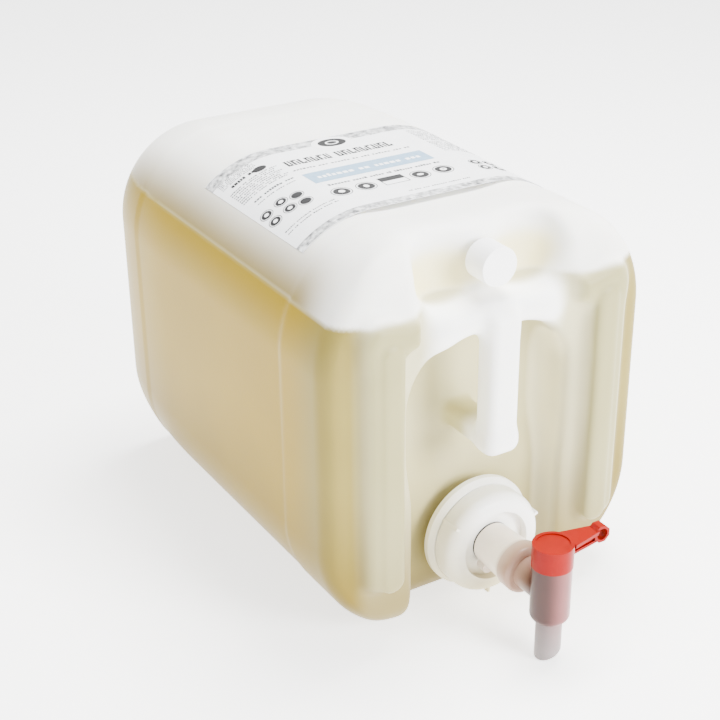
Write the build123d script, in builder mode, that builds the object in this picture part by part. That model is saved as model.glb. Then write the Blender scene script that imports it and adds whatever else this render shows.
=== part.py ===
from build123d import *
import os
from math import sqrt

# A twenty litre jerrycan that lies on its side, with a dispensing tap in its screw cap.
# Millimetres. X runs across the can, -Y is its front (the end with the handle, the cap
# and the tap), +Z is up. The origin is the middle of the underside that it rests on.

# Overall size of the blown can
can_width = 264
can_height = 296
can_length = 360
corner_radius = 82
wall = 2.2

# How the can rounds in towards its two ends: depth sideways, reach along the can,
# and the larger rolls from its front into its top and its underside
front_round_depth = 18
front_round_reach = 18
rear_round_depth = 20
rear_round_reach = 108
end_steps = 8
top_roll_radius = 40
foot_roll_radius = 35

bay_foot_radius = 22

# Set back middle of the front's top, where the vent is
vent_bay_half_width = 54
vent_bay_depth = 20
vent_bay_drop = 53
vent_bay_radius = 30
vent_bay_corner = 10

# Stacking lugs, two long pads on the front, each with a flare inwards at its top
lug_inset = 38.75
lug_width = 28.5
lug_low = 49
lug_drop = 46
lug_proud = 10
lug_corner = 13
lug_edge = 8
flare_width = 40
flare_high = 20
flare_corner = 6
flare_edge = 5

# Open bay between the lugs, and the deeper finger pocket in it
bay_half_width = 63
bay_depth = 30
bay_drop = 75
bay_corner = 47
pocket_half_width = 55
pocket_rise = 52
pocket_drop = 82
pocket_corner = 38
pocket_depth = 46
bay_edge = 9

# Brow over the bay, where the handle's root spreads
brow_width = 132
brow_deep = 38
brow_drop = 54
brow_proud = 5
brow_corner = 16
brow_edge = 9

# Carrying handle: a hollow bar that turns back into the pocket's wall
bar_width = 25
bar_proud = 14
bar_thick = 22
bar_rise = 78
bar_edge = 8
bar_bend = 12
window_bend = 9
return_height = 18

# Dishes beside the vent
dish_offset = 35
dish_radius = 20
dish_depth = 33
dish_edge = 8

# Main neck and its screw cap
neck_height = 56
neck_radius = 33
neck_wall = 3.5
neck_length = 26
neck_root_flare = 4
neck_root_length = 4
cap_fit_gap = 0.6
cap_wall = 6.2
cap_web = 3
cap_hole_radius = 12.8
cap_rim_proud = 7
cap_rim_width = 12.8
cap_dome = 9
cap_skirt_length = 10
rib_width = 2
rib_proud = 0.9
rib_set_back = 2.5
rib_angles = (20, 145, 265)
band_over = 3.6
band_flare = 3
band_thick = 3
band_length = 8
band_gap = 1
bridge_count = 16
bridge_width = 2.4
bridge_bite = 0.5
gasket_thick = 2
gasket_gap = 0.3

# Dispensing tap
tap_reach = 72
tail_gap = 0.3
shoulder_width = 2.8
tube_end_radius = 17.2
tail_wall = 2.5
washer_thick = 1.5
nut_thick = 7
nut_across_flats = 40
nut_gap = 0.1
collar_over = 1.2
collar_start = 34
collar_thick = 12
collar_edge = 3.5
socket_radius = 12.5
barrel_wall = 2.2
barrel_down = 24
barrel_up = 20.5
barrel_round = 6
plug_radius = 12
plug_clearance = 0.05
spout_radius = 9.4
spout_wall = 2.2
spout_down = 55
spout_bevel = 9
knob_radius = 4.5
knob_length = 8
knob_angle = 225

# Orange key: plug, head, lever and eight-sided eye
key_gap = 0.3
head_rise = 17.5
head_over = 0.4
head_rim = 2.6
disc_depth = 0.8
barrel_floor = 3
port_radius = 6.5
passage_up = 8
lever_length = 39.5
lever_root_width = 20
lever_tip_width = 8
lever_flange = 2.5
lever_web_width = 3
lever_root_depth = 14
lever_tip_depth = 9.5
lever_foot_width = 6
lever_foot = 2
eye_drop = 4.5
eye_across_flats = 12.6
eye_hole_radius = 4.4
eye_thick = 8

# Vent neck, its cap and liner
vent_drop = 26
boss_over = 4
boss_root = 40
vent_neck_radius = 10.5
vent_neck_length = 15.8
vent_neck_wall = 3
vent_cap_wall = 3.1
vent_cap_top = 3
vent_cap_gap = 0.4
vent_cap_edge = 0.6
vent_seat_gap = 0.5
liner_thick = 1.8
liner_gap = 0.2

# Label and liquid
label_set_back = 78
label_length = 146
label_left_inset = 34
label_right_inset = 16
label_thick = 0.3
film_gap = 0.05
fill_drop = 44
fill_gap = 0.3

# Places worked out from the sizes above
front = -can_length / 2
rear = can_length / 2
lug_centre = can_width / 2 - lug_inset
lug_high = can_height - lug_drop
flare_low = lug_high - flare_high
flare_centre = lug_centre + lug_width / 2 - lug_edge - flare_width / 2
bay_high = can_height - bay_drop
pocket_low = neck_height + pocket_rise
pocket_high = can_height - pocket_drop
brow_high = can_height - brow_drop
brow_low = brow_high - brow_deep
bar_low = neck_height + bar_rise
vent_height = can_height - vent_drop
fill_height = can_height - fill_drop
label_left = can_width / 2 - label_left_inset
label_right = can_width / 2 - label_right_inset
bay_wall = front + bay_depth
neck_bore_radius = neck_radius - neck_wall
neck_root_radius = neck_radius + neck_root_flare
neck_rim = bay_wall - neck_length
web_back = neck_rim - gasket_thick
web_front = web_back - cap_web
cap_face = web_front - cap_rim_proud
cap_inner_radius = neck_radius + cap_fit_gap
skirt_radius = cap_inner_radius + cap_wall
cap_rim_inner = skirt_radius - cap_rim_width
skirt_back = cap_face + cap_dome + cap_skirt_length
band_front = skirt_back + band_gap
band_back = band_front + band_length
band_radius = skirt_radius + band_over
tail_radius = cap_hole_radius - tail_gap
tube_bore_radius = tail_radius - tail_wall
tube_base_radius = cap_hole_radius + shoulder_width
tube_start = web_front - washer_thick
nut_back = web_back + nut_thick
tap_axis = front - tap_reach
collar_back = front - collar_start
collar_front = collar_back - collar_thick
collar_radius = tube_end_radius + collar_over
bore_radius = plug_radius + plug_clearance
barrel_radius = plug_radius + barrel_wall
barrel_low = neck_height - barrel_down
barrel_high = neck_height + barrel_up
spout_bore_radius = spout_radius - spout_wall
spout_low = neck_height - spout_down
plug_low = barrel_low + barrel_floor
passage_high = neck_height + passage_up
bore_low = plug_low - key_gap
head_low = barrel_high + key_gap
head_high = barrel_high + head_rise
head_radius = barrel_radius + head_over
disc_radius = head_radius - head_rim
vent_seat = front + vent_bay_depth
vent_bay_low = can_height - vent_bay_drop
vent_rim = vent_seat - vent_neck_length
vent_cap_inside = vent_rim - liner_thick
vent_cap_face = vent_cap_inside - vent_cap_top
vent_bore_radius = vent_neck_radius - vent_neck_wall
vent_cap_radius = vent_neck_radius + vent_cap_gap + vent_cap_wall
boss_radius = vent_cap_radius + boss_over


def level(y):
    """A sketch plane across the can at y, seen from the front."""
    return Plane.XZ.offset(-y)


def end_inset(gap, depth, reach):
    """How far an elliptic end rounding has drawn in, at a gap from the end."""
    if gap >= reach:
        return 0
    return depth * (1 - sqrt(1 - (1 - gap / reach) ** 2))


def roll(face, edge, radius, half_width, skin):
    """What a roll takes away between a front face at y and the top or the underside."""
    centre = edge - radius if edge else radius
    outer = Align.MIN if edge else Align.MAX
    with BuildPart() as cut:
        with BuildSketch(Plane.YZ):
            with Locations((face + radius, centre)):
                Rectangle(2 * radius, 2 * radius, align=(Align.MAX, outer))
                Circle(radius - skin, mode=Mode.SUBTRACT)
        extrude(amount=half_width, both=True)
    return cut.part


def can_block(skin):
    """The can without its front features, with every face moved in by skin."""
    front_reach = front_round_reach - skin
    rear_reach = rear_round_reach - skin
    stations = []
    for step in range(end_steps + 1):
        gap = front_reach * (step / end_steps) ** 2
        stations.append((front + skin + gap, end_inset(gap, front_round_depth, front_reach)))
    for step in range(end_steps, -1, -1):
        gap = rear_reach * (step / end_steps) ** 2
        stations.append((rear - skin - gap, end_inset(gap, rear_round_depth, rear_reach)))
    rolls = [
        roll(front, can_height, top_roll_radius, can_width, skin),
        roll(front, 0, foot_roll_radius, can_width, skin),
    ]
    with BuildPart() as block:
        for y, inset in stations:
            with BuildSketch(level(y)):
                with Locations((0, can_height / 2)):
                    RectangleRounded(
                        can_width - 2 * (skin + inset),
                        can_height - 2 * (skin + inset),
                        corner_radius - skin - inset / 2,
                    )
        loft(ruled=True)
        add(rolls, mode=Mode.SUBTRACT)
    return block.part


def front_pad(x, low, high, width, proud, corner, edge, skin):
    """A raised pad on the front, rounded along its front edges."""
    with BuildPart() as pad:
        with BuildSketch(level(bay_wall)):
            with Locations((x, (low + high) / 2)):
                RectangleRounded(width - 2 * skin, high - low - 2 * skin, corner - skin)
        extrude(amount=bay_depth + proud - skin)
        fillet(pad.faces().sort_by(Axis.Y)[0].edges(), edge - skin)
    return pad.part


def front_pocket(low, high, half_width, corner, depth, edge, skin):
    """What a pocket in the front takes away: square below, round cornered above."""
    with BuildPart() as pocket:
        with BuildSketch(level(front + depth + skin)) as outline:
            with Locations((0, (low + high) / 2)):
                Rectangle(2 * (half_width + skin), high - low + 2 * skin)
            fillet(outline.vertices().group_by(Axis.Y)[-1], corner + skin)
        extrude(amount=depth + can_length / 4)
        fillet(pocket.faces().sort_by(Axis.Y)[-1].edges(), edge)
    return pocket.part


def handle_bar(skin):
    """The handle's bar, its return to the pocket's wall and its root in the brow."""
    bar_front = front - bar_proud + skin
    window_front = front - bar_proud + bar_thick - skin
    back = front + pocket_depth + wall
    with BuildPart() as bar:
        with BuildSketch(Plane.YZ) as side:
            with Locations((bar_front, bar_low + skin)):
                Rectangle(
                    back - bar_front,
                    brow_high - bar_low - 2 * skin,
                    align=(Align.MIN, Align.MIN),
                )
            fillet(side.vertices().group_by(Axis.X)[0], bar_bend - skin)
            with BuildSketch(Plane.YZ, mode=Mode.PRIVATE) as window:
                with Locations((window_front, bar_low + return_height - skin)):
                    Rectangle(
                        can_length / 4,
                        pocket_high - bar_low - return_height + 2 * skin,
                        align=(Align.MIN, Align.MIN),
                    )
                fillet(window.vertices().group_by(Axis.X)[0], window_bend + skin)
            add(window.sketch_local, mode=Mode.SUBTRACT)
        extrude(amount=bar_width / 2 - skin, both=True)
        fillet(bar.faces().sort_by(Axis.X)[0].edges(), bar_edge - skin)
        fillet(bar.faces().sort_by(Axis.X)[-1].edges(), bar_edge - skin)
    return bar.part


def dish(x, skin):
    """What a round dish beside the vent takes away."""
    with BuildPart() as hollow:
        with BuildSketch(level(front + dish_depth + skin)):
            with Locations((x, vent_height)):
                Circle(dish_radius + skin)
        extrude(amount=dish_depth + can_length / 4)
        fillet(hollow.faces().sort_by(Axis.Y)[-1].edges(), dish_edge)
    return hollow.part


def vent_bay(skin):
    """What the set back middle of the front's top takes away."""
    with BuildPart() as bay:
        with BuildSketch(level(vent_seat + skin)) as outline:
            with Locations((0, vent_bay_low - skin)):
                Rectangle(
                    2 * (vent_bay_half_width + skin),
                    2 * vent_bay_drop,
                    align=(Align.CENTER, Align.MIN),
                )
            fillet(outline.vertices().group_by(Axis.Y)[0], vent_bay_corner + skin)
        extrude(amount=can_length / 4)
        add(roll(vent_seat, can_height, vent_bay_radius, vent_bay_half_width + skin, skin))
    return bay.part


def can_form(skin):
    """The whole blown form, with every face moved into the wall by skin."""
    block = can_block(skin)
    pads = [
        front_pad(x, lug_low, lug_high, lug_width, lug_proud, lug_corner, lug_edge, skin)
        for x in (-lug_centre, lug_centre)
    ]
    pads += [
        front_pad(
            x, flare_low, lug_high, flare_width, lug_proud, flare_corner, flare_edge, skin
        )
        for x in (-flare_centre, flare_centre)
    ]
    brow = front_pad(0, brow_low, brow_high, brow_width, brow_proud, brow_corner, brow_edge, skin)
    dishes = [dish(x, skin) for x in (-dish_offset, dish_offset)]
    bay = front_pocket(
        -can_height, bay_high, bay_half_width, bay_corner, bay_depth, bay_edge, skin
    )
    pocket = front_pocket(
        pocket_low, pocket_high, pocket_half_width, pocket_corner, pocket_depth, bay_edge, skin
    )
    bar = handle_bar(skin)
    with BuildPart() as form:
        add(block)
        add(pads)
        add(brow)
        add(vent_bay(skin), mode=Mode.SUBTRACT)
        add(dishes, mode=Mode.SUBTRACT)
        with BuildSketch(level(front + boss_root)):
            with Locations((0, vent_height)):
                Circle(boss_radius - skin)
        extrude(amount=boss_root - vent_bay_depth - skin)
        add(bay, mode=Mode.SUBTRACT)
        add(roll(bay_wall, 0, bay_foot_radius, bay_half_width + skin, skin), mode=Mode.SUBTRACT)
        add(pocket, mode=Mode.SUBTRACT)
        add(bar)
    return form.part


outer_form = can_form(0)
inner_form = can_form(wall)

# Blown can: one hollow moulding with its handle, lugs and both necks
with BuildPart() as can_body:
    add(outer_form)
    add(inner_form, mode=Mode.SUBTRACT)
    for face, radius, length, height in (
        (bay_wall + wall / 2, neck_radius, neck_length + wall / 2, neck_height),
        (bay_wall + wall / 2, neck_root_radius, neck_root_length + wall / 2, neck_height),
        (vent_seat + wall / 2, vent_neck_radius, vent_neck_length + wall / 2, vent_height),
    ):
        with BuildSketch(level(face)):
            with Locations((0, height)):
                Circle(radius)
        extrude(amount=length)
    for face, radius, length, height in (
        (bay_wall + 2 * wall, neck_bore_radius, neck_length + 3 * wall, neck_height),
        (vent_seat + 2 * wall, vent_bore_radius, vent_neck_length + 3 * wall, vent_height),
    ):
        with BuildSketch(level(face)):
            with Locations((0, height)):
                Circle(radius)
        extrude(amount=length, mode=Mode.SUBTRACT)
can_body.part.label = "can_body"

# Detergent: it fills the can to a level line below the top
fill_form = can_form(wall + fill_gap)
with BuildPart() as detergent_fill:
    add(fill_form)
    with BuildSketch(Plane.XY.offset(fill_height)):
        Rectangle(2 * can_width, 2 * can_length)
    extrude(amount=can_height, mode=Mode.SUBTRACT)
detergent_fill.part.label = "detergent_fill"

# Label: a film that lies over the top and both rounded shoulders
label_outside = can_block(-film_gap - label_thick)
label_inside = can_block(-film_gap)
with BuildPart() as label:
    add(label_outside)
    add(label_inside, mode=Mode.SUBTRACT)
    with BuildSketch(Plane.XY.offset(can_height / 2)):
        with Locations((-label_left, front + label_set_back)):
            Rectangle(label_left + label_right, label_length, align=(Align.MIN, Align.MIN))
    extrude(amount=can_height, mode=Mode.INTERSECT)
label.part.label = "label"

# Screw cap: domed skirt, recessed web, three ribs and a tamper band on thin bridges
with BuildPart() as screw_cap:
    with BuildSketch(Plane.YZ) as section:
        with BuildLine():
            Polyline(
                (cap_face, neck_height + skirt_radius - cap_dome),
                (cap_face, neck_height + cap_rim_inner),
                (web_front, neck_height + cap_rim_inner),
                (web_front, neck_height + cap_hole_radius),
                (web_back, neck_height + cap_hole_radius),
                (web_back, neck_height + cap_inner_radius),
                (skirt_back, neck_height + cap_inner_radius),
                (skirt_back, neck_height + skirt_radius),
                (cap_face + cap_dome, neck_height + skirt_radius),
            )
            RadiusArc(
                (cap_face + cap_dome, neck_height + skirt_radius),
                (cap_face, neck_height + skirt_radius - cap_dome),
                -cap_dome,
            )
        make_face()
        with BuildLine():
            Polyline(
                (band_front, neck_height + cap_inner_radius + cap_fit_gap),
                (band_front, neck_height + band_radius - band_flare),
                (band_front + band_length / 2, neck_height + band_radius),
                (band_back, neck_height + band_radius),
                (band_back, neck_height + band_radius - band_thick),
                (band_front + band_thick, neck_height + band_radius - band_flare - band_thick),
                (band_front + band_thick, neck_height + cap_inner_radius + cap_fit_gap),
                close=True,
            )
        make_face()
    revolve(axis=Axis((0, 0, neck_height), (0, 1, 0)))
    with BuildSketch(level(band_front + bridge_bite)):
        with Locations((0, neck_height)):
            with PolarLocations(skirt_radius - cap_wall / 2, bridge_count):
                Rectangle(cap_wall / 2, bridge_width)
    extrude(amount=band_gap + 2 * bridge_bite)
    with BuildSketch(level(skirt_back)):
        with Locations((0, neck_height)):
            for angle in rib_angles:
                with PolarLocations(skirt_radius + rib_proud - cap_wall / 2, 1, angle):
                    Rectangle(cap_wall, rib_width)
    extrude(amount=skirt_back - cap_face - rib_set_back)
screw_cap.part.label = "screw_cap"

# Gasket between the neck's rim and the cap's web
with BuildPart() as cap_gasket:
    with BuildSketch(level(neck_rim)):
        with Locations((0, neck_height)):
            Circle(neck_radius + gasket_gap)
            Circle(neck_bore_radius, mode=Mode.SUBTRACT)
    extrude(amount=gasket_thick)
cap_gasket.part.label = "cap_gasket"

# Tap body: tail through the cap, flared tube, collar, upright barrel and cut spout
with BuildPart() as tap_body:
    with BuildSketch(Plane.YZ) as section:
        with BuildLine():
            Polyline(
                (nut_back, neck_height),
                (nut_back, neck_height + tail_radius),
                (tube_start, neck_height + tail_radius),
                (tube_start, neck_height + tube_base_radius),
                (collar_back, neck_height + tube_end_radius),
                (collar_back, neck_height + collar_radius),
                (collar_front, neck_height + collar_radius),
                (collar_front, neck_height + socket_radius),
                (tap_axis, neck_height + socket_radius),
                (tap_axis, neck_height),
                close=True,
            )
        make_face()
        fillet(section.vertices().group_by(Axis.Y)[-1].sort_by(Axis.X)[0], collar_edge)
    revolve(axis=Axis((0, 0, neck_height), (0, 1, 0)))
    with BuildSketch(Plane.XY.offset(barrel_low)):
        with Locations((0, tap_axis)):
            Circle(barrel_radius)
    extrude(amount=barrel_high - barrel_low)
    fillet(tap_body.edges().group_by(Axis.Z)[0], barrel_round)
    with BuildSketch(Plane.XY.offset(spout_low)):
        with Locations((0, tap_axis)):
            Circle(spout_radius)
    extrude(amount=barrel_low + barrel_round - spout_low)
    with BuildSketch(level(tap_axis)):
        with BuildLine():
            Polyline(
                (-spout_radius, spout_low),
                (spout_radius, spout_low + spout_bevel),
                (spout_radius, spout_low - spout_bevel),
                close=True,
            )
        make_face()
    extrude(amount=2 * spout_radius, both=True, mode=Mode.SUBTRACT)
    with BuildSketch(level(tube_start - knob_length / 2)):
        with Locations((0, neck_height)):
            with PolarLocations(tube_base_radius, 1, knob_angle):
                Circle(knob_radius)
    extrude(amount=knob_length)
    with BuildSketch(level(nut_back)):
        with Locations((0, neck_height)):
            Circle(tube_bore_radius)
    extrude(amount=nut_back - tap_axis, mode=Mode.SUBTRACT)
    with BuildSketch(Plane.XY.offset(bore_low)):
        with Locations((0, tap_axis)):
            Circle(bore_radius)
    extrude(amount=barrel_high - bore_low, mode=Mode.SUBTRACT)
    with BuildSketch(Plane.XY.offset(spout_low)):
        with Locations((0, tap_axis)):
            Circle(spout_bore_radius)
    extrude(amount=bore_low - spout_low, mode=Mode.SUBTRACT)
tap_body.part.label = "tap_body"

# Washer under the tube's shoulder
with BuildPart() as tap_washer:
    with BuildSketch(level(web_front)):
        with Locations((0, neck_height)):
            Circle(tube_base_radius)
            Circle(cap_hole_radius, mode=Mode.SUBTRACT)
    extrude(amount=washer_thick)
tap_washer.part.label = "tap_washer"

# Six-sided nut that holds the tail from inside the cap
with BuildPart() as tap_nut:
    with BuildSketch(level(nut_back)):
        with Locations((0, neck_height)):
            RegularPolygon(nut_across_flats / 2, 6, major_radius=False)
            Circle(tail_radius + nut_gap, mode=Mode.SUBTRACT)
    extrude(amount=nut_thick)
tap_nut.part.label = "tap_nut"

# Key: a hollow plug that turns in the barrel, with the head and lever in one moulding
with BuildPart() as tap_key:
    with BuildSketch(Plane.XY.offset(plug_low)):
        with Locations((0, tap_axis)):
            Circle(plug_radius)
    extrude(amount=head_high - plug_low)
    with BuildSketch(Plane.XY.offset(head_low)):
        with Locations((0, tap_axis)):
            Circle(head_radius)
    extrude(amount=head_high - head_low)
    with BuildSketch(Plane.XY.offset(head_high - disc_depth)):
        with Locations((0, tap_axis)):
            Circle(disc_radius)
    extrude(amount=disc_depth, mode=Mode.SUBTRACT)
    with BuildSketch(Plane.XY.offset(head_high - disc_depth)):
        with Locations((0, tap_axis)):
            Polygon(
                (disc_radius, lever_root_width / 2),
                (lever_length, lever_tip_width / 2),
                (lever_length, -lever_tip_width / 2),
                (disc_radius, -lever_root_width / 2),
                align=None,
            )
    extrude(amount=-lever_flange)
    for width, low_root, low_tip, high_root, high_tip in (
        (lever_web_width, lever_root_depth, lever_tip_depth, disc_depth, disc_depth),
        (
            lever_foot_width,
            lever_root_depth,
            lever_tip_depth,
            lever_root_depth - lever_foot,
            lever_tip_depth - lever_foot,
        ),
    ):
        with BuildSketch(level(tap_axis)):
            Polygon(
                (disc_radius, head_high - low_root),
                (lever_length, head_high - low_tip),
                (lever_length, head_high - high_tip),
                (disc_radius, head_high - high_root),
                align=None,
            )
        extrude(amount=width / 2, both=True)
    with BuildSketch(level(tap_axis)):
        with Locations((lever_length, head_high - eye_drop)):
            RegularPolygon(eye_across_flats / 2, 8, major_radius=False, rotation=22.5)
    extrude(amount=eye_thick / 2, both=True)
    with BuildSketch(level(tap_axis)):
        with Locations((lever_length, head_high - eye_drop)):
            Circle(eye_hole_radius)
    extrude(amount=eye_thick, both=True, mode=Mode.SUBTRACT)
    with BuildSketch(Plane.XY.offset(plug_low)):
        with Locations((0, tap_axis)):
            Circle(spout_bore_radius)
    extrude(amount=passage_high - plug_low, mode=Mode.SUBTRACT)
    with BuildSketch(Plane.YZ):
        with Locations((tap_axis, neck_height)):
            Circle(port_radius)
    extrude(amount=-2 * plug_radius, mode=Mode.SUBTRACT)
tap_key.part.label = "tap_key"

# Vent cap: a plain cup that screws over the vent neck
with BuildPart() as vent_cap:
    with BuildSketch(level(vent_seat - vent_seat_gap)):
        with Locations((0, vent_height)):
            Circle(vent_cap_radius)
    extrude(amount=vent_seat - vent_seat_gap - vent_cap_face)
    with BuildSketch(level(vent_seat)):
        with Locations((0, vent_height)):
            Circle(vent_neck_radius + vent_cap_gap)
    extrude(amount=vent_seat - vent_cap_inside, mode=Mode.SUBTRACT)
    fillet(vent_cap.edges().group_by(Axis.Y)[0], vent_cap_edge)
vent_cap.part.label = "vent_cap"

# Soft liner disc that the vent cap presses on the vent neck's rim
with BuildPart() as vent_liner:
    with BuildSketch(level(vent_rim)):
        with Locations((0, vent_height)):
            Circle(vent_neck_radius + vent_cap_gap - liner_gap)
    extrude(amount=liner_thick)
vent_liner.part.label = "vent_liner"

os.makedirs("parts", exist_ok=True)
for piece in (
    can_body,
    detergent_fill,
    label,
    screw_cap,
    cap_gasket,
    tap_body,
    tap_washer,
    tap_nut,
    tap_key,
    vent_cap,
    vent_liner,
):
    export_step(piece.part, f"parts/{piece.part.label}.step")
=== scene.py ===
import math
import bpy
import numpy as np
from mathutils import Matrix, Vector


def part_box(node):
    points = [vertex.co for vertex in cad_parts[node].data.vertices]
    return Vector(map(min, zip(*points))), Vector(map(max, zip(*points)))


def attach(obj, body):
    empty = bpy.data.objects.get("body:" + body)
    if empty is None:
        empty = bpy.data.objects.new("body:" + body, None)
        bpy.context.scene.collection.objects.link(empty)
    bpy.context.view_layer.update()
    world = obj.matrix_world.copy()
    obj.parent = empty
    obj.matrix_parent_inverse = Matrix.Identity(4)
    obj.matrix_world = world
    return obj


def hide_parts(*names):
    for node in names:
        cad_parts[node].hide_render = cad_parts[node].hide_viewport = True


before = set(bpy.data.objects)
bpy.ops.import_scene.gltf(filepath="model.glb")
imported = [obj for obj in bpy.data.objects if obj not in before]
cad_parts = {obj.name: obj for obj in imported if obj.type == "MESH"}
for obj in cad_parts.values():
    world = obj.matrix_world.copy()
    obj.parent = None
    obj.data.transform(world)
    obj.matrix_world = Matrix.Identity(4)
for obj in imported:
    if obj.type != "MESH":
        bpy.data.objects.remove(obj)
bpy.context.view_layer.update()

mm = 0.001  # shapes are worked out in millimetres and put into meshes in metres


def boxOf(node):
    low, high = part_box(node)  # a CAD node's corners, in millimetres
    return np.array(low) / mm, np.array(high) / mm


canLow, canHigh = boxOf("can_body")
capLow, capHigh = boxOf("screw_cap")
tapLow, tapHigh = boxOf("tap_body")
keyLow, keyHigh = boxOf("tap_key")
ventLow, ventHigh = boxOf("vent_cap")
labelLow, labelHigh = boxOf("label")
fillLow, fillHigh = boxOf("detergent_fill")

canShape = {
    "barProud": 14.0,  # the handle stands this far in front of the can's front plane
    "cornerRadius": 82.0,
    "frontRound": 19.0,  # the front's side edges
    "rearDepth": 20.0, "rearReach": 108.0,
    "topRoll": 40.0, "footRoll": 35.0, "bayFoot": 22.0,
    "ventBayHalf": 54.0, "ventBayDepth": 20.0, "ventBayLow": 244.0, "ventBayRoll": 30.0,
    "lugIn": 79.0, "lugOut": 107.5, "lugProud": 10.0, "lugLow": 49.0, "lugHigh": 250.0,
    "panelOut": 98.5, "panelProud": 2.2,  # the raised inner face of each lug
    "flareIn": 64.0, "flareLow": 230.0,
    "browHalf": 50.0, "browLow": 214.0, "browHigh": 243.0, "browProud": 3.5,
    "bayHalf": 63.0, "bayHigh": 221.0, "bayCorner": 47.0, "bayDepth": 30.0,
    "pocketHalf": 55.0, "pocketLow": 108.0, "pocketHigh": 214.0, "pocketDepth": 46.0,
    "barHalf": 12.2, "barLow": 134.0, "barHigh": 240.0, "barThick": 22.0,
    "returnHeight": 18.0, "barEdge": 6.5,
    "dishX": 35.0, "dishRadius": 20.0, "dishDepth": 31.0,
    "panelDepth": 0.8, "panelFront": 62.0, "panelRear": 300.0,
}
frontY = canLow[1] + canShape["barProud"]
rearY = canHigh[1]
midZ = (canLow[2] + canHigh[2]) / 2
halfX = (canHigh[0] - canLow[0]) / 2
halfZ = (canHigh[2] - canLow[2]) / 2
ventZ = (ventLow[2] + ventHigh[2]) / 2
capZ = (capLow[2] + capHigh[2]) / 2
tapY = (keyLow[1] + keyHigh[1]) / 2
fillZ = fillHigh[2]


# ---- shape tools: a field is negative inside a shape, in millimetres ----

def smoothMin(a, b, blend):
    # the smaller of two fields, with a fillet about as wide as blend
    share = np.clip(0.5 + 0.5 * (b - a) / blend, 0, 1)
    return b + (a - b) * share - blend * share * (1 - share)


def smoothMax(a, b, blend):
    return -smoothMin(-a, -b, blend)


def ramp(value, start, end):
    # 0 before start, 1 after end, with a smooth rise between them
    share = np.clip((value - start) / (end - start), 0, 1)
    return share * share * (3 - 2 * share)


def roundRect(x, z, halfWide, halfHigh, radius):
    # distance to a rounded rectangle: to its inner corner points, less the radius
    qx = np.abs(x) - halfWide + radius
    qz = np.abs(z) - halfHigh + radius
    return np.hypot(np.maximum(qx, 0), np.maximum(qz, 0)) + np.minimum(np.maximum(qx, qz), 0) - radius


def edgeRound(side, along, depth, reach):
    # two faces joined by a quarter ellipse: (side/depth)^2 + (along/reach)^2 = 1
    u = side / depth + 1
    v = along / reach + 1
    up = np.maximum(u, 0)
    vp = np.maximum(v, 0)
    both = np.hypot(up, vp)
    slope = np.hypot(up / depth, vp / reach) / np.maximum(both, 1e-6)
    return (both + np.minimum(np.maximum(u, v), 0) - 1) / np.maximum(slope, 1 / reach)


def slab(value, low, high):
    return np.maximum(low - value, value - high)


def netSurface(field, xs, ys, zs):
    # surface net: one point in each grid cell that the surface crosses, at the mean of its
    # edge crossings, then moved onto the field's zero along its gradient
    value = field(*np.meshgrid(xs, ys, zs, indexing="ij"))
    inside = value < 0
    shape = np.array(value.shape) - 1
    corner = [(i, j, k) for i in (0, 1) for j in (0, 1) for k in (0, 1)]

    def part(array, c):
        return array[tuple(slice(o, o + n) for o, n in zip(c, shape))]

    count = sum(part(inside, c).astype(np.int8) for c in corner)
    cells = np.argwhere((count > 0) & (count < 8))
    number = np.full(shape, -1, np.int64)
    number[tuple(cells.T)] = np.arange(len(cells))
    grid = (np.asarray(xs), np.asarray(ys), np.asarray(zs))
    total = np.zeros((len(cells), 3))
    hits = np.zeros(len(cells))
    for a in corner:
        for axis in range(3):
            if a[axis]:
                continue
            b = tuple(1 if n == axis else o for n, o in enumerate(a))
            ia, ib = cells + a, cells + b
            va, vb = value[tuple(ia.T)], value[tuple(ib.T)]
            crossed = (va < 0) != (vb < 0)
            share = np.where(crossed, va / np.where(crossed, va - vb, 1), 0)
            for n in range(3):
                pa, pb = grid[n][ia[:, n]], grid[n][ib[:, n]]
                total[:, n] += np.where(crossed, pa + (pb - pa) * share, 0)
            hits += crossed
    points = total / hits[:, None]
    points = settle(field, points, 0.0, 3)
    faces = []
    for axis in range(3):
        p, q = (axis + 1) % 3, (axis + 2) % 3
        here = [slice(1, -1)] * 3
        there = [slice(1, -1)] * 3
        here[axis], there[axis] = slice(0, -1), slice(1, None)
        turned = inside[tuple(here)] != inside[tuple(there)]
        where = np.argwhere(turned)
        outward = inside[tuple(here)][turned]
        base = where.copy()
        base[:, p] += 1
        base[:, q] += 1
        ring = []
        for dp, dq in ((-1, -1), (0, -1), (0, 0), (-1, 0)):
            cell = base.copy()
            cell[:, p] += dp
            cell[:, q] += dq
            ring.append(number[tuple(cell.T)])
        ring = np.array(ring).T
        ring[~outward] = ring[~outward][:, ::-1]
        faces.append(ring)
    return points, np.concatenate(faces)


def settle(field, points, level, rounds):
    # Newton steps along the gradient until the field has the wanted value
    step = 0.05
    for _ in range(rounds):
        x, y, z = points.T
        value = field(x, y, z) - level
        slope = np.array([
            field(x + step, y, z) - field(x - step, y, z),
            field(x, y + step, z) - field(x, y - step, z),
            field(x, y, z + step) - field(x, y, z - step),
        ]).T / (2 * step)
        size = np.maximum((slope ** 2).sum(1), 0.05)
        move = (value / size)[:, None] * slope
        points = points - np.clip(move, -1.5, 1.5)
    return points


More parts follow.
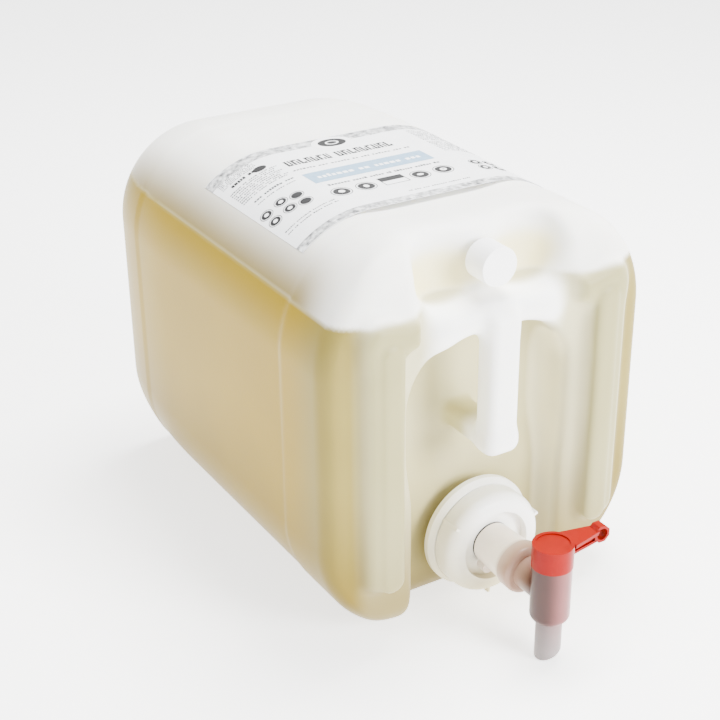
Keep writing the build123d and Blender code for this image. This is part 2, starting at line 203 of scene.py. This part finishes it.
def makeMesh(name, points, faces, smooth=True):
    mesh = bpy.data.meshes.new(name)
    faces = np.asarray(faces)
    mesh.vertices.add(len(points))
    mesh.vertices.foreach_set("co", (np.asarray(points) * mm).astype(np.float32).ravel())
    sides = faces.shape[1]
    mesh.loops.add(faces.size)
    mesh.loops.foreach_set("vertex_index", faces.astype(np.int32).ravel())
    mesh.polygons.add(len(faces))
    mesh.polygons.foreach_set("loop_start", np.arange(0, faces.size, sides, dtype=np.int32))
    mesh.polygons.foreach_set("use_smooth", np.full(len(faces), smooth))
    mesh.update(calc_edges=True)
    mesh.validate()
    piece = bpy.data.objects.new(name, mesh)
    bpy.context.scene.collection.objects.link(piece)
    return piece


def addValues(piece, name, values):
    # one number for each vertex, which a material reads by name
    attribute = piece.data.attributes.new(name, "FLOAT", "POINT")
    attribute.data.foreach_set("value", np.asarray(values, np.float32))


def pointsOf(piece):
    flat = np.empty(len(piece.data.vertices) * 3, np.float32)
    piece.data.vertices.foreach_get("co", flat)
    return flat.reshape(-1, 3).astype(float) / mm


# ---- materials ----

def hexColour(text):
    # sRGB hex to linear colour
    parts = [int(text[i:i + 2], 16) / 255 for i in (1, 3, 5)]
    return [p / 12.92 if p <= 0.04045 else ((p + 0.055) / 1.055) ** 2.4 for p in parts] + [1]


def addNode(tree, kind, settings=None, links=None):
    node = tree.nodes.new(kind)
    for key, value in (settings or {}).items():
        if isinstance(key, int) or key in node.inputs:
            node.inputs[key].default_value = value
        else:
            setattr(node, key, value)
    for key, source in (links or {}).items():
        tree.links.new(source, node.inputs[key])
    return node


def newMaterial(name, settings):
    material = bpy.data.materials.new(name)
    material.use_nodes = True
    shader = material.node_tree.nodes["Principled BSDF"]
    for key, value in settings.items():
        shader.inputs[key].default_value = value
    return material, material.node_tree, shader


def colourSteps(node, steps):
    # a colour ramp's places and hex colours
    elements = node.color_ramp.elements
    while len(elements) < len(steps):
        elements.new(0.5)
    for element, (place, colour) in zip(elements, steps):
        element.position = place
        element.color = hexColour(colour)


def fineBump(tree, shader, grain, height, stretch=(1, 1, 1)):
    # a moulded skin: noise with cells of about grain millimetres and a height in millimetres
    place = addNode(tree, "ShaderNodeTexCoord")
    scaled = addNode(tree, "ShaderNodeMapping", {"Scale": stretch}, {"Vector": place.outputs["Object"]})
    noise = addNode(
        tree, "ShaderNodeTexNoise", {"Scale": 1 / (grain * mm), "Detail": 3.0, "Roughness": 0.55},
        {"Vector": scaled.outputs["Vector"]},
    )
    bump = addNode(
        tree, "ShaderNodeBump", {"Strength": 1.0, "Distance": height * mm}, {"Height": noise.outputs["Fac"]}
    )
    tree.links.new(bump.outputs["Normal"], shader.inputs["Normal"])
    return scaled, bump


def tintedPlastic(name, settings, grain, height, patch):
    # a milky plastic: its colour, with painted shade and light, comes from the mesh, varied a little in soft
    # patches
    material, tree, shader = newMaterial(name, settings)
    own = addNode(tree, "ShaderNodeAttribute", {"attribute_name": "tintAndPaintedLight"})
    place = addNode(tree, "ShaderNodeTexCoord")
    cloud = addNode(
        tree, "ShaderNodeTexNoise", {"Scale": 1 / (patch * mm), "Detail": 3.0}, {"Vector": place.outputs["Object"]}
    )
    shade = addNode(
        tree, "ShaderNodeMapRange", {1: 0.3, 2: 0.7, 3: 0.95, 4: 1.03}, {0: cloud.outputs["Fac"]}
    )
    mixed = addNode(
        tree, "ShaderNodeVectorMath", {"operation": "SCALE"},
        {0: own.outputs["Color"], "Scale": shade.outputs[0]},
    )
    tree.links.new(mixed.outputs[0], shader.inputs["Base Color"])
    fineBump(tree, shader, grain, height)
    return material


def blownPolyethylene():
    # natural HDPE, blow moulded: milky and waxy, with broad soft highlights
    return tintedPlastic("natural HDPE, blow moulded", {
        "Roughness": 0.33, "IOR": 1.53, "Specular IOR Level": 0.09,
        "Subsurface Weight": 0.2, "Subsurface Radius": (1.0, 0.85, 0.5), "Subsurface Scale": 0.006,
    }, 2.4, 0.05, 60)


def naturalCap():
    # natural polypropylene, injection moulded: smooth, milky, a little glossier than the can
    return tintedPlastic("natural polypropylene, injection moulded", {
        "Roughness": 0.28, "IOR": 1.49, "Specular IOR Level": 0.3,
        "Subsurface Weight": 0.15, "Subsurface Radius": (1.0, 0.85, 0.6), "Subsurface Scale": 0.004,
    }, 1.2, 0.015, 20)


def tapPlastic():
    # low density polyethylene, injection moulded: cloudy, so the orange plug shows through
    return tintedPlastic("natural LDPE, injection moulded", {
        "Roughness": 0.3, "IOR": 1.51, "Specular IOR Level": 0.3,
        "Subsurface Weight": 0.15, "Subsurface Radius": (1.0, 0.6, 0.5), "Subsurface Scale": 0.003,
    }, 1.5, 0.02, 12)


def orangeKey():
    # orange polyethylene, injection moulded: strong pigment, satin, slightly soft edges
    material, tree, shader = newMaterial("orange polyethylene, injection moulded", {
        "Roughness": 0.3, "IOR": 1.51, "Specular IOR Level": 0.1,
    })
    scaled, bump = fineBump(tree, shader, 0.9, 0.02)
    patches = addNode(
        tree, "ShaderNodeTexNoise", {"Scale": 60.0, "Detail": 2.0}, {"Vector": scaled.outputs["Vector"]}
    )
    colours = addNode(tree, "ShaderNodeValToRGB", links={"Fac": patches.outputs["Fac"]})
    colourSteps(colours, [(0.3, "#7a0300"), (0.7, "#830400")])
    tree.links.new(colours.outputs["Color"], shader.inputs["Base Color"])
    return material


def whiteCapPlastic():
    # white pigmented polypropylene, injection moulded: opaque, fine satin grain
    material, tree, shader = newMaterial("white polypropylene, injection moulded", {
        "Roughness": 0.42, "IOR": 1.49, "Specular IOR Level": 0.4,
    })
    scaled, bump = fineBump(tree, shader, 0.6, 0.012)
    patches = addNode(
        tree, "ShaderNodeTexNoise", {"Scale": 90.0, "Detail": 2.0}, {"Vector": scaled.outputs["Vector"]}
    )
    colours = addNode(tree, "ShaderNodeValToRGB", links={"Fac": patches.outputs["Fac"]})
    colourSteps(colours, [(0.3, "#f8f8f8"), (0.7, "#fcfcfc")])
    tree.links.new(colours.outputs["Color"], shader.inputs["Base Color"])
    return material


def plainMaterial(name, dark, light, roughness, grain, height, extra=None):
    # a finish with two close colours in patches and a fine grain, both sized in millimetres
    settings = {"Roughness": roughness}
    settings.update(extra or {})
    material, tree, shader = newMaterial(name, settings)
    scaled, bump = fineBump(tree, shader, grain, height)
    patches = addNode(
        tree, "ShaderNodeTexNoise", {"Scale": 0.3 / (grain * mm), "Detail": 3.0},
        {"Vector": scaled.outputs["Vector"]},
    )
    colours = addNode(tree, "ShaderNodeValToRGB", links={"Fac": patches.outputs["Fac"]})
    colourSteps(colours, [(0.3, dark), (0.7, light)])
    tree.links.new(colours.outputs["Color"], shader.inputs["Base Color"])
    return material


def coat(piece, material):
    piece.data.materials.clear()
    piece.data.materials.append(material)


def settlePiece(piece, body, slot, *nodes):
    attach(piece, body)
    if nodes:
        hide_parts(*nodes)


hdpe = blownPolyethylene()
capPlastic = naturalCap()
tapMaterial = tapPlastic()
orange = orangeKey()
ventWhite = whiteCapPlastic()
print("materials ready")


# ---- the can ----

# the wall's colours with the liquid behind it, plus painted shade for the sides, the front's side edges, the lower
# part, the finger pocket and the dishes, painted light for the bay walls and a painted highlight for the brow and
# bar
tintAndPaintedLight = {
    "clear": "#f5f4ee", "sideShadeAboveLiquid": "#806c22", "front": "#c0ba96", "rear": "#b3a152", "shoulder": "#87793c",
    "side": "#997e00", "low": "#6c5806", "pocketShade": "#c9bd72", "wall": "#f0eac6", "dish": "#ece09a",
    "lug": "#9c966a", "bar": "#fbfbf8",
}


def rollField(y, z, face, edge, radius):
    # distance outside a roll that joins a front face to the top, or to the underside
    up = 1 if edge > midZ else -1
    qy = np.maximum(face + radius - y, 0)
    qz = np.maximum((z - edge) * up + radius, 0)
    return np.hypot(qy, qz) - radius


def blockField(x, y, z):
    # the can without its front features: a rounded section, rounded ends and the rolls
    s = canShape
    section = roundRect(x, z - midZ, halfX, halfZ, s["cornerRadius"])
    panel = ramp(y, frontY + s["panelFront"], frontY + s["panelFront"] + 5)
    panel = panel * (1 - ramp(y, frontY + s["panelRear"], frontY + s["panelRear"] + 5))
    section = section + s["panelDepth"] * panel
    ahead = edgeRound(section, frontY - y, s["frontRound"], s["frontRound"])
    behind = edgeRound(section, y - rearY, s["rearDepth"], s["rearReach"])
    top = rollField(y, z, frontY, canHigh[2], s["topRoll"])
    foot = rollField(y, z, frontY, canLow[2], s["footRoll"])
    f = smoothMax(np.maximum(ahead, behind), top, 6)
    return smoothMax(f, foot, 6)


def canField(x, y, z):
    s = canShape
    ax = np.abs(x)
    f = blockField(x, y, z)
    # the middle of the front's top is set back for the vent
    back = frontY + s["ventBayDepth"]
    keep = smoothMax(back - y, rollField(y, z, back, canHigh[2], s["ventBayRoll"]), 6)
    keep = smoothMin(keep, z - s["ventBayLow"], 16)
    keep = smoothMin(keep, (s["ventBayHalf"] - ax) * 0.7, 22)
    f = smoothMax(f, keep, 12)
    # stacking lugs, with a raised face and a flare at the top
    outline = roundRect(ax - (s["lugIn"] + s["lugOut"]) / 2, z - (s["lugLow"] + s["lugHigh"]) / 2,
                        (s["lugOut"] - s["lugIn"]) / 2, (s["lugHigh"] - s["lugLow"]) / 2, 13)
    flare = roundRect(ax - (s["flareIn"] + 100) / 2, z - (s["flareLow"] + s["lugHigh"]) / 2,
                      (100 - s["flareIn"]) / 2, (s["lugHigh"] - s["flareLow"]) / 2, 5)
    outline = smoothMin(outline, flare, 18)
    lug = edgeRound(outline, frontY - s["lugProud"] - y, 9, 9)
    lug = np.maximum(lug, y - frontY - 32)
    f = smoothMin(f, lug, 11)
    face = roundRect(ax - (s["lugIn"] + s["panelOut"]) / 2, z - (s["lugLow"] + 240) / 2,
                     (s["panelOut"] - s["lugIn"]) / 2, (240 - s["lugLow"]) / 2, 9.5)
    face = edgeRound(face, frontY - s["lugProud"] - s["panelProud"] - y, 6, 4)
    face = np.maximum(face, y - frontY - 20)
    f = smoothMin(f, face, 1.2)
    # brow
    outline = roundRect(x, z - (s["browLow"] + s["browHigh"]) / 2, s["browHalf"],
                        (s["browHigh"] - s["browLow"]) / 2, 16)
    brow = edgeRound(outline, frontY - s["browProud"] - y, 10, 9)
    brow = np.maximum(brow, y - frontY - 32)
    f = smoothMin(f, brow, 18)
    # dishes beside the vent
    dish = np.hypot(ax - s["dishX"], z - ventZ) - s["dishRadius"]
    dish = smoothMax(dish * 0.8, y - frontY - s["dishDepth"], 18)
    f = smoothMax(f, -dish, 14)
    # the open bay with the roll at its wall's foot, and the finger pocket
    r = s["bayCorner"]
    qx = np.maximum(ax - (s["bayHalf"] - r), 0)
    qz = np.maximum(z - (s["bayHigh"] - r), 0)
    bay = np.where(z > s["bayHigh"] - r, np.hypot(qx, qz) - r, ax - s["bayHalf"])
    bay = smoothMax(bay, -rollField(y, z, frontY + s["bayDepth"], canLow[2], s["bayFoot"]), 16)
    f = smoothMax(f, -bay, 9)
    pocket = roundRect(x, z - (s["pocketLow"] + s["pocketHigh"]) / 2, s["pocketHalf"],
                       (s["pocketHigh"] - s["pocketLow"]) / 2, 38)
    pocket = smoothMax(pocket * 0.8, y - frontY - s["pocketDepth"], 26)
    f = smoothMax(f, -pocket, 24)
    # handle: bar, return and root
    barFront = frontY - s["barProud"]
    edge = s["barEdge"]
    side = roundRect(y - (barFront + s["barThick"] / 2), z - (s["barLow"] + s["barHigh"]) / 2,
                     s["barThick"] / 2, (s["barHigh"] - s["barLow"]) / 2, 9)
    bar = edgeRound(side, ax - s["barHalf"], edge, edge)
    back = frontY + s["pocketDepth"] + 4
    side = roundRect(y - (barFront + back) / 2, z - (s["barLow"] + s["returnHeight"] / 2),
                     (back - barFront) / 2, s["returnHeight"] / 2, 8.5)
    foot = edgeRound(side, ax - s["barHalf"], edge, edge)
    bar = smoothMin(bar, foot, 7)
    f = smoothMin(f, bar, 9)
    return f


def mixColour(base, colour, share):
    return base + (np.array(hexColour(colour)) - base) * share[:, None]


def canColourAndPaintedLight(points):
    # the can's colour: liquid behind the wall yellows it, and what stands proud of the liquid stays milky;
    # painted shade on the sides, the front's side edges, low down, in the finger pocket and the dishes, painted
    # light on the bay walls and a painted highlight on the brow and bar
    x, y, z = points.T
    depth = -blockField(x, y, z)
    under = 1 - ramp(z, fillZ - 2.5, fillZ + 1.5)
    side = ramp(np.abs(x), 105, 128) * ramp(y, frontY + 4, frontY + 60)
    ahead = 1 - ramp(y, frontY + 10, frontY + 70)
    low = ramp(-z, -150, -20)
    colour = np.tile(hexColour(tintAndPaintedLight["clear"]), (len(points), 1))
    # painted shade: the sides above the liquid are darkened to a dull ochre
    shadedFlank = ramp(np.abs(x), 86, 128) * ramp(y, frontY + 4, frontY + 60)
    colour = mixColour(colour, tintAndPaintedLight["sideShadeAboveLiquid"], (1 - under) * shadedFlank)
    colour = mixColour(colour, tintAndPaintedLight["front"], under)
    colour = mixColour(colour, tintAndPaintedLight["rear"], under * ramp(y, frontY + 60, frontY + 120))
    # painted shade on the front's side edges
    colour = mixColour(colour, tintAndPaintedLight["shoulder"], under * ramp(np.abs(x), 98, 116))
    # the sides below the liquid: the liquid's yellow, deepened by painted shade
    colour = mixColour(colour, tintAndPaintedLight["side"], under * side)
    # painted shade: darker towards the bottom
    colour = mixColour(colour, tintAndPaintedLight["low"], under * low * 0.8)
    # painted shade: the finger pocket turns yellower the deeper it goes
    pocket = ramp(depth, 12, 46) * (1 - ramp(np.abs(x), 57, 63)) * ahead
    colour = mixColour(colour, tintAndPaintedLight["pocketShade"], under * pocket * 0.6)
    # painted light: the bay's side walls are brightened
    litBayWall = ramp(np.abs(x), 55, 59) * (1 - ramp(np.abs(x), 64, 70)) * ramp(depth, 2, 10)
    colour = mixColour(colour, tintAndPaintedLight["wall"], litBayWall * ahead * under * (1 - 0.7 * low))
    # painted shade in the dishes beside the vent, above the liquid
    dish = ramp(depth, 4, 26) * (1 - under) * ahead
    colour = mixColour(colour, tintAndPaintedLight["dish"], dish)
    lug = ramp(-y, -frontY + 2, -frontY + 10)
    colour = mixColour(colour, tintAndPaintedLight["lug"], lug * (1 - 0.5 * low))
    # the brow: milky, whitened further by a painted highlight
    brow = ramp(z, 196, 228) * ahead * (1 - ramp(np.abs(x), 46, 62)) * (1 - ramp(depth, 8, 20))
    colour = mixColour(colour, tintAndPaintedLight["bar"], brow)
    # the handle bar: milky, whitened further by a painted highlight
    bar = ramp(-y, -frontY - 26, -frontY - 6) * (1 - ramp(np.abs(x), 13, 17))
    colour = mixColour(colour, tintAndPaintedLight["bar"], bar * ramp(z, 118, 136))
    return colour


def addColours(piece, name, colours):
    attribute = piece.data.color_attributes.new(name, "FLOAT_COLOR", "POINT")
    attribute.data.foreach_set("color", np.asarray(colours, np.float32).ravel())


def spaced(*spans):
    # grid lines: each span is (start, end, spacing)
    lines = [np.linspace(a, b, max(int(round((b - a) / d)), 1), endpoint=False) for a, b, d in spans]
    return np.concatenate(lines + [[spans[-1][1]]])


def makeCan():
    step = 2.2
    margin = 4.0
    xs = spaced((canLow[0] - margin, canHigh[0] + margin, 2.35))
    zs = spaced((canLow[2] - margin, canHigh[2] + margin, 2.35))
    ys = spaced(
        (canLow[1] - margin, frontY + 62, step), (frontY + 62, frontY + 90, 3.2), (frontY + 90, rearY - 70, 7.0),
        (rearY - 70, rearY - 20, 4.0), (rearY - 20, rearY + margin, 2.4),
    )
    points, faces = netSurface(canField, xs, ys, zs)
    piece = makeMesh("can_shell", points, faces)
    addColours(piece, "tintAndPaintedLight", canColourAndPaintedLight(points))
    coat(piece, hdpe)
    settlePiece(piece, "can", "natural_hdpe", "can_body")
    print("can shell", len(faces) * 2, "triangles")
    return piece


canShell = makeCan()


def makeLiquid():
    # the liquid keeps a few millimetres inside the can's outer surface, up to its level
    def field(x, y, z):
        return smoothMax(canField(x, y, z) + 3.2, z - fillZ, 1.0)

    xs = spaced((canLow[0] - 3, canHigh[0] + 3, 4.0))
    zs = spaced((canLow[2] - 3, fillZ + 5, 4.0))
    ys = spaced((canLow[1] - 3, frontY + 62, 3.6), (frontY + 62, rearY - 60, 8.0), (rearY - 60, rearY + 3, 4.5))
    points, faces = netSurface(field, xs, ys, zs)
    piece = makeMesh("detergent_liquid", points, faces)
    coat(piece, plainMaterial("detergent, liquid", "#c9b04e", "#d2ba5c", 0.15, 6.0, 0.0))
    settlePiece(piece, "can", "detergent", "detergent_fill")
    print("liquid", len(faces) * 2, "triangles")


makeLiquid()


# ---- the label ----

labelShape = {"left": -109.0, "right": 126.5, "front": -101.0, "rear": 46.0, "film": 0.22, "ink": 0.10}


def shoulderPoint(s, y, lift):
    # a point on the can at arc length s across the top, lifted off the wall
    r = canShape["cornerRadius"]
    flat = halfX - r
    angle = np.maximum(np.abs(s) - flat, 0) / r
    x = np.sign(s) * (np.minimum(np.abs(s), flat) + r * np.sin(angle))
    z = canHigh[2] - r * (1 - np.cos(angle))
    inset = canShape["panelDepth"] - lift
    x = x - np.sign(s) * np.sin(angle) * inset
    return np.array([x, y + 0 * s, z - np.cos(angle) * inset]).T


def filmGrid(left, right, front, rear, lift, cell=3.0):
    # a sheet of quads laid over the shoulder
    across = max(int(round((right - left) / cell)), 1)
    along = max(int(round((rear - front) / cell)), 1)
    s, y = np.meshgrid(np.linspace(left, right, across + 1), np.linspace(front, rear, along + 1))
    points = shoulderPoint(s.ravel(), y.ravel(), lift)
    base = (np.arange(along)[:, None] * (across + 1) + np.arange(across)).ravel()
    return points, np.array([base, base + 1, base + across + 2, base + across + 1]).T


def joined(sheets):
    points, faces, start = [], [], 0
    for p, f in sheets:
        points.append(p)
        faces.append(f + start)
        start += len(p)
    return np.concatenate(points), np.concatenate(faces)


def ringSheet(s, y, inner, outer, lift, squash=1.0, sides=40):
    # a flat ring, or a disc where inner is 0, printed at (s, y)
    angle = np.linspace(0, 2 * np.pi, sides, endpoint=False)
    rings = [
        shoulderPoint(s + r * np.cos(angle), y + r * squash * np.sin(angle), lift)
        for r in (max(inner, 0.01), outer)
    ]
    n = np.arange(sides)
    m = (n + 1) % sides
    return np.concatenate(rings), np.array([n, n + sides, m + sides, m]).T


def wordRow(rng, left, right, y, height, lift, letter, gap):
    # greeked text: short bars in groups, with no letter shapes
    bars = []
    s = left
    while s < right - letter:
        for _ in range(rng.integers(2, 8)):
            wide = letter * rng.uniform(0.7, 1.15)
            if s + wide > right:
                break
            tall = height * rng.choice([0.72, 1.0], p=[0.7, 0.3])
            bars.append(filmGrid(s, s + wide, y, y + tall, lift, 4.0))
            s += wide + gap
        s += letter * 1.1
    return bars


def printInk(name, sheets, material):
    points, faces = joined(sheets)
    piece = makeMesh(name, points, faces, smooth=False)
    coat(piece, material)
    settlePiece(piece, "can", "label_film")


def makeLabel():
    d = labelShape
    film = d["film"]
    ink = film + d["ink"]
    rng = np.random.default_rng(7)
    points, faces = filmGrid(d["left"], d["right"], d["front"], d["rear"], film)
    sheet = makeMesh("label_film", points, faces)
    coat(sheet, plainMaterial("polypropylene label film, satin", "#eeeff0", "#f4f5f6", 0.38, 3.0, 0.01))
    settlePiece(sheet, "can", "label_film", "label")
    black = plainMaterial("black printing ink, satin", "#0d0d0e", "#161618", 0.45, 1.0, 0.0)
    grey = plainMaterial("grey printing ink, satin", "#3c3e40", "#4a4c4e", 0.45, 1.0, 0.0)
    blue = plainMaterial("pale blue printing ink, satin", "#7f9fba", "#8dabc2", 0.42, 1.0, 0.0)
    white = plainMaterial("unprinted film, satin", "#f1f2f3", "#f6f6f7", 0.38, 3.0, 0.0)
    cloud = plainMaterial("mottled grey print, satin", "#58595b", "#e4e5e5", 0.4, 1.1, 0.0)
    printInk("label_bands", [
        filmGrid(d["left"], d["right"], d["rear"] - 13, d["rear"] - 0.6, film + 0.04),
        filmGrid(d["left"], d["right"], d["front"] + 0.6, d["front"] + 9, film + 0.04),
    ], cloud)
    printInk("label_badge_ground", [ringSheet(-3, d["rear"] - 14, 0, 17, film + 0.07, 0.8)], white)
    printInk("label_strip", [filmGrid(-57, 43, -38, -17, ink)], blue)
    dark = [ringSheet(-3, d["rear"] - 13, 5.5, 11.5, ink, 0.72), ringSheet(-3, d["rear"] - 13, 0, 4.0, ink, 0.7)]
    s = -56.0
    for word in (7, 9):  # the title: two groups of heavy bars
        for n in range(word):
            wide = rng.uniform(3.7, 5.0)
            dark.append(filmGrid(s, s + wide * 0.42, 3, 13.5, ink, 4.0))
            dark.append(filmGrid(s + wide * 0.42, s + wide, 3 + 8.6 * (n % 2), 5 + 8.6 * (n % 2), ink, 4.0))
            dark.append(filmGrid(s + wide * 0.7, s + wide, 3, 13.5 - 3.5 * (n % 3), ink, 4.0))
            s += wide + 1.0
        s += 4.5
    for s, y in ((-50, -61.5), (-30, -61.5), (15, -61.5), (35, -61)):
        dark += [ringSheet(s, y, 0, 6.2, ink), ringSheet(s, y, 7.3, 7.9, ink)]
    dark.append(filmGrid(-17, 3, -60.5, -53, ink))
    for s, y in ((-101, -39), (-101, -52), (-87, -38), (-87, -51.5), (-75.5, -42), (-75.5, -55), (66, -57),
                 (66, -70), (79, -57), (79, -70)):
        dark += [ringSheet(s, y, 0, 4.2, ink), ringSheet(s, y, 5.0, 5.5, ink)]
    dark += wordRow(rng, -98, -76, 17, 4.6, ink, 2.2, 0.6)
    dark.append(ringSheet(-73, 18, 0, 5.5, ink, 0.75))
    printInk("label_print_black", dark, black)
    marks = [ringSheet(-50, -61.5, 0, 2.4, ink + 0.05), ringSheet(-30, -61.5, 0, 2.0, ink + 0.05, 1.3),
             ringSheet(15, -61.5, 0, 2.6, ink + 0.05, 0.7), ringSheet(35, -61, 0.9, 2.6, ink + 0.05)]
    for s, y in ((-101, -39), (-101, -52), (-87, -38), (-87, -51.5), (66, -57), (66, -70), (79, -57), (79, -70)):
        marks.append(ringSheet(s, y, 0, 1.9, ink + 0.05))
    marks += wordRow(rng, -50, 36, -30.5, 5.5, ink + 0.05, 3.4, 1.3)
    printInk("label_marks_white", marks, white)
    lines = wordRow(rng, -58, 43, -7.5, 2.2, ink, 1.9, 0.9) + wordRow(rng, -52, 42, -47.5, 3.0, ink, 1.8, 0.7)
    lines += wordRow(rng, -10, 42, -86, 1.5, ink, 1.3, 0.6)
    for row in range(8):
        lines += wordRow(rng, -104, -72, 31.5 - row * 2.1, 1.1, ink, 1.2, 0.5) if row < 5 else []
        lines += wordRow(rng, -104, -62 - 2 * (row % 3), 11 - row * 2.9, 1.4, ink, 1.4, 0.55)
        lines += wordRow(rng, 60, 122, 27 - row * 3.4, 1.5, ink, 1.5, 0.6)
        lines += wordRow(rng, 60, 122, -2 - row * 3.4, 1.5, ink, 1.5, 0.6)
    lines += wordRow(rng, -98, -62, -17.5, 2.6, ink, 2.0, 0.6) + wordRow(rng, -98, -64, -22.5, 1.4, ink, 1.4, 0.5)
    lines += wordRow(rng, -104, -60, -71, 1.3, ink, 1.3, 0.5) + wordRow(rng, -104, -60, -75, 1.3, ink, 1.3, 0.5)
    lines += [filmGrid(-17, 3, -68, -67.3, ink, 4.0), filmGrid(-17, -16.4, -68, -60, ink, 4.0),
              filmGrid(2.4, 3, -68, -60, ink, 4.0)]
    printInk("label_print_grey", lines, grey)


makeLabel()
print("label ready")


# ---- camera, light and floor ----

view = {"azimuth": -32.2, "elevation": 27.7, "place": (-552.6, -743.7 + frontY, 665.1),
        "lens": 76.2, "shiftX": -0.0432, "shiftY": 0.0393}


def makeCamera():
    data = bpy.data.cameras.new("camera")
    data.lens = view["lens"]
    data.sensor_width = 36
    data.shift_x = view["shiftX"]
    data.shift_y = view["shiftY"]
    data.clip_end = 20
    camera = bpy.data.objects.new("camera", data)
    az, el = math.radians(view["azimuth"]), math.radians(view["elevation"])
    back = Vector((math.sin(az) * math.cos(el), -math.cos(az) * math.cos(el), math.sin(el)))
    camera.location = Vector(view["place"]) * mm
    camera.rotation_euler = back.to_track_quat("Z", "Y").to_euler()
    bpy.context.scene.collection.objects.link(camera)
    bpy.context.scene.camera = camera


def addLight(name, place, target, size, power, colour="#ffffff"):
    data = bpy.data.lights.new(name, "AREA")
    data.shape = "RECTANGLE"
    data.size, data.size_y = size
    data.energy = power
    data.color = hexColour(colour)[:3]
    light = bpy.data.objects.new(name, data)
    light.location = place
    light.rotation_euler = (Vector(place) - Vector(target)).to_track_quat("Z", "Y").to_euler()
    bpy.context.scene.collection.objects.link(light)


def makeStudio():
    world = bpy.data.worlds.new("studio")
    world.use_nodes = True
    background = world.node_tree.nodes["Background"]
    background.inputs["Color"].default_value = hexColour("#ffffff")
    background.inputs["Strength"].default_value = 1.25
    bpy.context.scene.world = world
    middle = (0, 0, 0.15)
    addLight("key_softbox", (0.7, -1.8, 0.8), middle, (0.8, 0.8), 100)
    addLight("top_softbox", (0.35, 0.1, 1.6), middle, (0.8, 0.8), 88)
    size = 6.0
    floor = makeMesh("floor", np.array([[-size, -size, 0], [size, -size, 0], [size, size, 0], [-size, size, 0]])
                     / mm, [[0, 1, 2, 3]], smooth=False)
    material = plainMaterial("matt paper sweep, lit from behind", "#f3f3f2", "#f6f6f5", 0.9, 4.0, 0.02,
                             {"Emission Color": hexColour("#ffffff"), "Emission Strength": 2.2})
    coat(floor, material)


makeCamera()
makeStudio()
print("camera and studio ready")

# ---- the cap, the tap and the small pieces keep their CAD shapes ----

def tapColourAndPaintedLight(points):
    # cloudy grey, with the orange plug showing through in the barrel and collar; painted shade on the barrel's
    # left side and painted light on its right
    x, y, z = points.T
    reach = np.hypot(x, y - tapY)
    colour = np.tile(hexColour("#f0e4d2"), (len(points), 1))
    colour = mixColour(colour, "#c0b09f", ramp(-z, -capZ, -capZ + 16))
    colour = mixColour(colour, "#9c7c68", ramp(-y, -tapY - 42, -tapY - 36))
    barrel = 1 - ramp(reach, 14.5, 18)
    colour = mixColour(colour, "#7a4544", barrel)
    # painted shade: the barrel's left (-x) side darker
    colour = mixColour(colour, "#38160f", barrel * ramp(-x, -1, 12))
    # painted light: the barrel's right (+x) side lighter
    colour = mixColour(colour, "#9c7a7c", barrel * ramp(x, 3, 14))
    colour = mixColour(colour, "#857d7c", barrel * (1 - ramp(z, 30, 34)))
    return colour


def capColourAndPaintedShade(points):
    # milky white, warmer and darker low down, with painted shade on the left (-x) side
    x, y, z = points.T
    colour = np.tile(hexColour("#fcfbf7"), (len(points), 1))
    colour = mixColour(colour, "#b3a468", 0.85 * ramp(-z, -capZ - 14, -capZ + 38))
    # painted shade on the cap's left (-x) side
    colour = mixColour(colour, "#cfc6a2", 0.6 * ramp(-x, 8, 40))
    return colour


def dressNode(node, material, colours=None):
    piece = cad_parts[node]
    coat(piece, material)
    if colours:
        addColours(piece, "tintAndPaintedLight", colours(pointsOf(piece)))


foam = plainMaterial("polyethylene foam, skived", "#ecebe6", "#f5f4f0", 0.7, 0.5, 0.05)
dressNode("cap_gasket", foam)
dressNode("vent_liner", foam)
dressNode("tap_washer", plainMaterial("black rubber, moulded", "#2b2b2b", "#353535", 0.6, 0.6, 0.03))
dressNode("tap_nut", capPlastic, capColourAndPaintedShade)
dressNode("screw_cap", capPlastic, capColourAndPaintedShade)
dressNode("tap_body", tapMaterial, tapColourAndPaintedLight)
dressNode("tap_key", orange)
dressNode("vent_cap", ventWhite)
